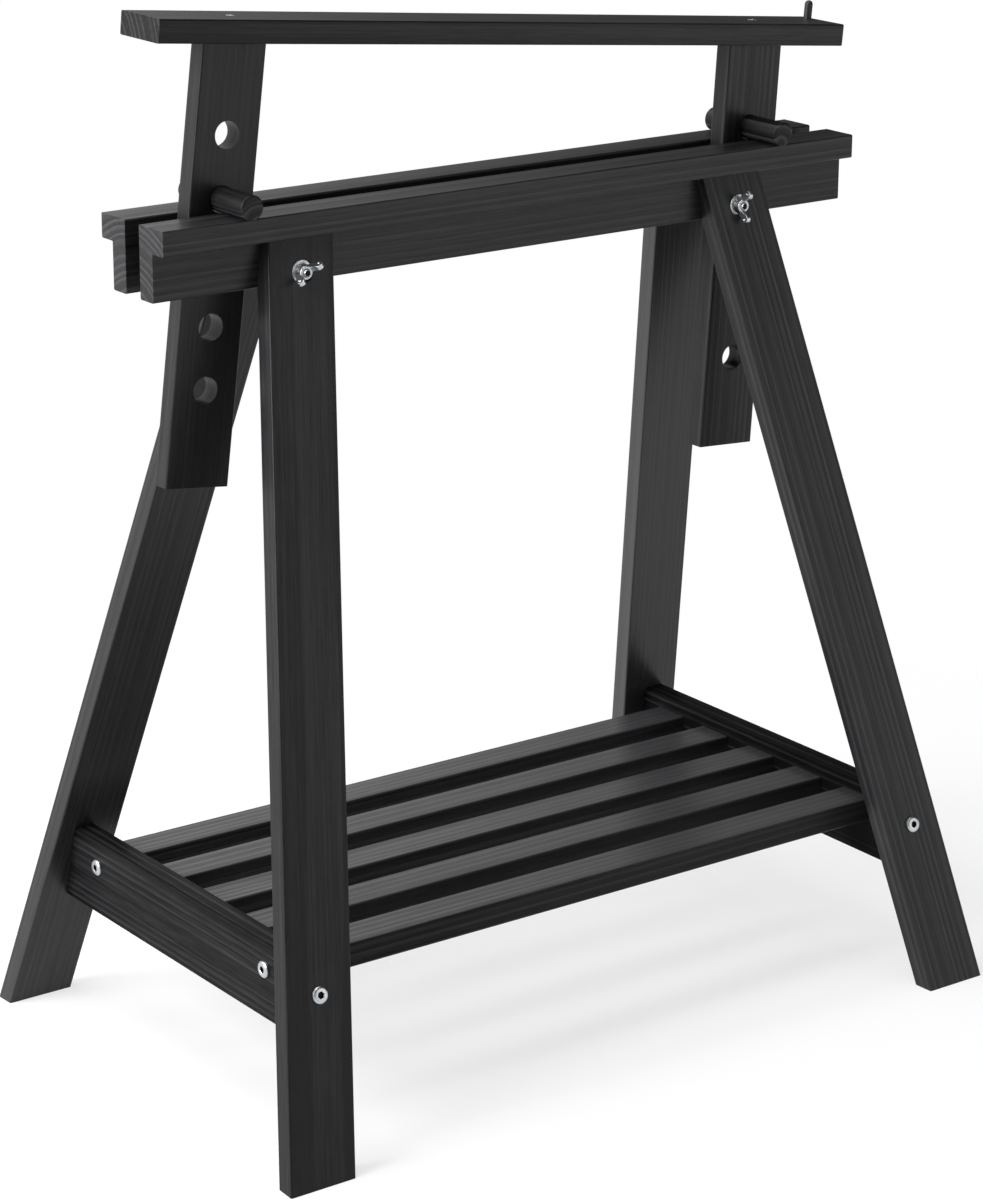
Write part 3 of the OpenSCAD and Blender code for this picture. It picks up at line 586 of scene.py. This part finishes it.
# Wing nuts: cast, a low tapered boss with two thick wings that sweep up to round paddles with a dimple
wingNut = {
    "turn": {"front_left": 33, "front_right": 84, "back_left": 20, "back_right": 120},
    "boss": [(0, 3.1), (0, 6.2), (0.3, 6.5), (1.1, 6.5), (6.2, 5.7), (6.8, 5.2), (7.0, 4.6), (6.8, 3.7), (6.3, 3.1)],
    "outline": [(4.2, 0.9), (6.4, 0.9), (7.6, 2.6), (9.6, 5.2), (12.0, 8.2)],  # lower edge of a wing
    "inner": [(6.5, 12.4), (5.8, 10.2), (5.0, 8.3), (4.2, 6.8)],               # upper edge, back to the boss
    "tip": (10.0, 11.5), "tipR": 3.5, "tipFrom": -40, "tipTo": 150, "tipSteps": 12,
    "halfThick": 1.7, "rootThick": 0.8, "rootAt": 4.2, "rootRun": 6,           # thicker towards the boss
    "voxelMm": 0.24, "fillet": 0.5, "filletTimes": 4,                          # cast in one
    "dimpleR": 1.7, "dimpleDepth": 0.9, "dimpleRound": 0.7, "dimpleSpare": 0.2,
}


def wingNutMesh(name):
    boss = lathed(name, wingNut["boss"], closed=True)
    bm = bmesh.new()
    bm.from_mesh(boss)
    edge = list(wingNut["outline"])
    tip, tipR, tipFrom, tipTo, tipSteps = (wingNut[key] for key in ("tip", "tipR", "tipFrom", "tipTo", "tipSteps"))
    for k in range(tipSteps + 1):
        angle = math.radians(tipFrom + (tipTo - tipFrom) * k / tipSteps)
        edge.append((tip[0] + tipR * math.cos(angle), tip[1] + tipR * math.sin(angle)))
    edge += wingNut["inner"]
    thick = [wingNut["halfThick"] + wingNut["rootThick"] * max(0, 1 - (x - wingNut["rootAt"]) / wingNut["rootRun"])
             for x, z in edge]
    for flip in (1, -1):
        sides = [[bm.verts.new((flip * x * mm, flip * y * t * mm, z * mm)) for (x, z), t in zip(edge, thick)]
                 for y in (-1, 1)]
        for i in range(len(edge)):
            j = (i + 1) % len(edge)
            bm.faces.new((sides[0][i], sides[0][j], sides[1][j], sides[1][i]))
        bm.faces.new(list(reversed(sides[0])))
        bm.faces.new(sides[1])
    bm.to_mesh(boss)
    bm.free()
    maker = bpy.data.objects.new(name + "Maker", boss)
    bpy.context.scene.collection.objects.link(maker)
    fuse = maker.modifiers.new("fuse", "REMESH")
    fuse.mode = "VOXEL"
    fuse.voxel_size = wingNut["voxelMm"] * mm
    fillet = maker.modifiers.new("fillet", "SMOOTH")
    fillet.factor = wingNut["fillet"]
    fillet.iterations = wingNut["filletTimes"]
    mesh = evaluatedMesh(name, maker)
    for vert in mesh.vertices:  # press a dimple into both faces of each paddle
        x, y, z = vert.co / mm
        off = math.hypot(abs(x) - tip[0], z - tip[1]) / wingNut["dimpleR"]
        if off < 1 and abs(y) < wingNut["halfThick"] + wingNut["dimpleSpare"]:
            press = wingNut["dimpleDepth"] * mm * (1 - off ** 2) ** wingNut["dimpleRound"]
            vert.co.y -= math.copysign(press, y)
    mesh.shade_smooth()
    return mesh


nutBlank = wingNutMesh("wingNut")
for corner, turn in wingNut["turn"].items():
    node = corner + "_wing_nut"
    low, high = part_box(node)
    front = -1 if corner.startswith("front") else 1
    foot = Vector(((low.x + high.x) / 2, high.y if front < 0 else low.y, boltZ))
    mesh = nutBlank.copy()
    mesh.name = camel(node)
    mesh.transform(Matrix.Translation(foot) @ Matrix.Rotation(-front * math.pi / 2, 4, "X")
                   @ Matrix.Rotation(math.radians(turn), 4, "Z"))
    mesh.materials.append(zincFinish)
    pieceFromMesh(mesh.name, mesh, node, "zinc_plate", node)
bpy.data.meshes.remove(nutBlank)
print("wing nuts made")

# Floor: pale, keeps the shadow near the feet and runs out to white
floorLook = {"pale": "#f4f4f4", "bounce": "#d0d0d0", "nearM": 0.45, "farM": 1.2, "lift": 0.7, "halfM": 9,
             "underM": 0.0002}
material, tree = newMaterial("paleFloor")
coords = addNode(tree, "ShaderNodeTexCoord")
away = addNode(tree, "ShaderNodeVectorMath", {"operation": "LENGTH"}, {0: coords.outputs["Object"]})
fade = addNode(tree, "ShaderNodeMapRange", soft,
               {"Value": away.outputs["Value"], "From Min": floorLook["nearM"], "From Max": floorLook["farM"],
                "To Min": floorLook["lift"]})
path = addNode(tree, "ShaderNodeLightPath")
mirrored = addNode(tree, "ShaderNodeMath", larger,
                   {0: path.outputs["Is Glossy Ray"], 1: path.outputs["Is Transmission Ray"]})
shown = addNode(tree, "ShaderNodeMath", larger, {0: mirrored, 1: path.outputs["Is Camera Ray"]})
tint = addNode(tree, "ShaderNodeMix", rgba, {0: shown, 6: linear(floorLook["bounce"]), 7: linear(floorLook["pale"])})
matt = addNode(tree, "ShaderNodeBsdfDiffuse", {}, {"Color": tint.outputs[2]})
glow = addNode(tree, "ShaderNodeMath", times, {0: fade, 1: shown})
white = addNode(tree, "ShaderNodeEmission", {}, {"Color": (1, 1, 1, 1), "Strength": 1.0})
both = addNode(tree, "ShaderNodeMixShader", {}, {0: glow, 1: matt, 2: white})
addNode(tree, "ShaderNodeOutputMaterial", {}, {"Surface": both})
half, under = floorLook["halfM"], -floorLook["underM"]
floorMesh = bpy.data.meshes.new("floor")
floorMesh.from_pydata([(-half, -half, under), (half, -half, under), (half, half, under), (-half, half, under)], [],
                      [(0, 1, 2, 3)])
floorMesh.materials.append(material)
floor = bpy.data.objects.new("floor", floorMesh)
bpy.context.scene.collection.objects.link(floor)

# Studio: white for the camera; as light and in reflections the white sweep stands behind, and the room dims towards
# the ceiling, the front and a dark screen on the right (from, to, what is left), with one large lamp on the left
studio = {
    "ambient": 0.12,
    "dims": {"Z": (0.35, 0.95, 0.2), "Y": (0.3, -0.6, 0.28), "X": (0.44, 0.62, 0.03)},
    "lamps": {
        "leftKey": {"at": (-2.7, 0.25, 1.75), "to": (0, 0, 0.5), "size": 1.8, "watts": 135},
        "topSoft": {"at": (-0.7, 0.4, 3.5), "to": (0, 0, 0.3), "size": 2.4, "watts": 112},
        "frontFill": {"at": (1.9, -3.0, 0.7), "to": (0, 0, 0.45), "size": 2.2, "watts": 22},
    },
}
world = bpy.data.worlds.new("studio")
bpy.context.scene.world = world
world.use_nodes = True
tree = world.node_tree
tree.nodes.clear()
path = addNode(tree, "ShaderNodeLightPath")
coords = addNode(tree, "ShaderNodeTexCoord")
way = addNode(tree, "ShaderNodeSeparateXYZ", {}, {0: coords.outputs["Generated"]})
mirrored = addNode(tree, "ShaderNodeMath", larger,
                   {0: path.outputs["Is Glossy Ray"], 1: path.outputs["Is Transmission Ray"]})
room = addNode(tree, "ShaderNodeMapRange", {}, {"Value": mirrored, "To Min": studio["ambient"], "To Max": 1.0})
for axis, (near, far, left) in studio["dims"].items():
    dim = addNode(tree, "ShaderNodeMapRange", soft,
                  {"Value": way.outputs[axis], "From Min": near, "From Max": far, "To Min": 1.0, "To Max": left})
    room = addNode(tree, "ShaderNodeMath", times, {0: room, 1: dim})
shown = addNode(tree, "ShaderNodeMath", larger, {0: room, 1: path.outputs["Is Camera Ray"]})
sky = addNode(tree, "ShaderNodeBackground", {}, {"Color": (1, 1, 1, 1), "Strength": shown})
addNode(tree, "ShaderNodeOutputWorld", {}, {"Surface": sky})
for name, lamp in studio["lamps"].items():
    light = bpy.data.lights.new(name, "AREA")
    light.shape = "SQUARE"
    light.size = lamp["size"]
    light.energy = lamp["watts"]
    holder = bpy.data.objects.new(name, light)
    holder.location = lamp["at"]
    holder.rotation_mode = "QUATERNION"
    holder.rotation_quaternion = (Vector(lamp["to"]) - Vector(lamp["at"])).to_track_quat("-Z", "Y")
    bpy.context.scene.collection.objects.link(holder)
print("floor and light set")

# Camera: from the front left, a little above the bar, on a long lens
shot = {"azimuth": -36.174, "elevation": 17.956, "roll": 0.215, "target": (-0.08375, -0.10876, 0.4),
        "distance": 2.8947, "lens": 107.673, "sensor": 36}
az, el, roll = (math.radians(shot[key]) for key in ("azimuth", "elevation", "roll"))
back = Vector((math.sin(az) * math.cos(el), -math.cos(az) * math.cos(el), math.sin(el)))
right = Vector((math.cos(az), math.sin(az), 0))
up = back.cross(right)
right, up = right * math.cos(roll) + up * math.sin(roll), up * math.cos(roll) - right * math.sin(roll)
camera = bpy.data.objects.new("camera", bpy.data.cameras.new("camera"))
camera.data.lens = shot["lens"]
camera.data.sensor_width = shot["sensor"]
camera.matrix_world = Matrix.Translation(Vector(shot["target"]) + back * shot["distance"]) @ Matrix(
    (right, up, back)).transposed().to_4x4()
bpy.context.scene.collection.objects.link(camera)
bpy.context.scene.camera = camera
bpy.context.scene.view_settings.view_transform = "Standard"

print("camera set")
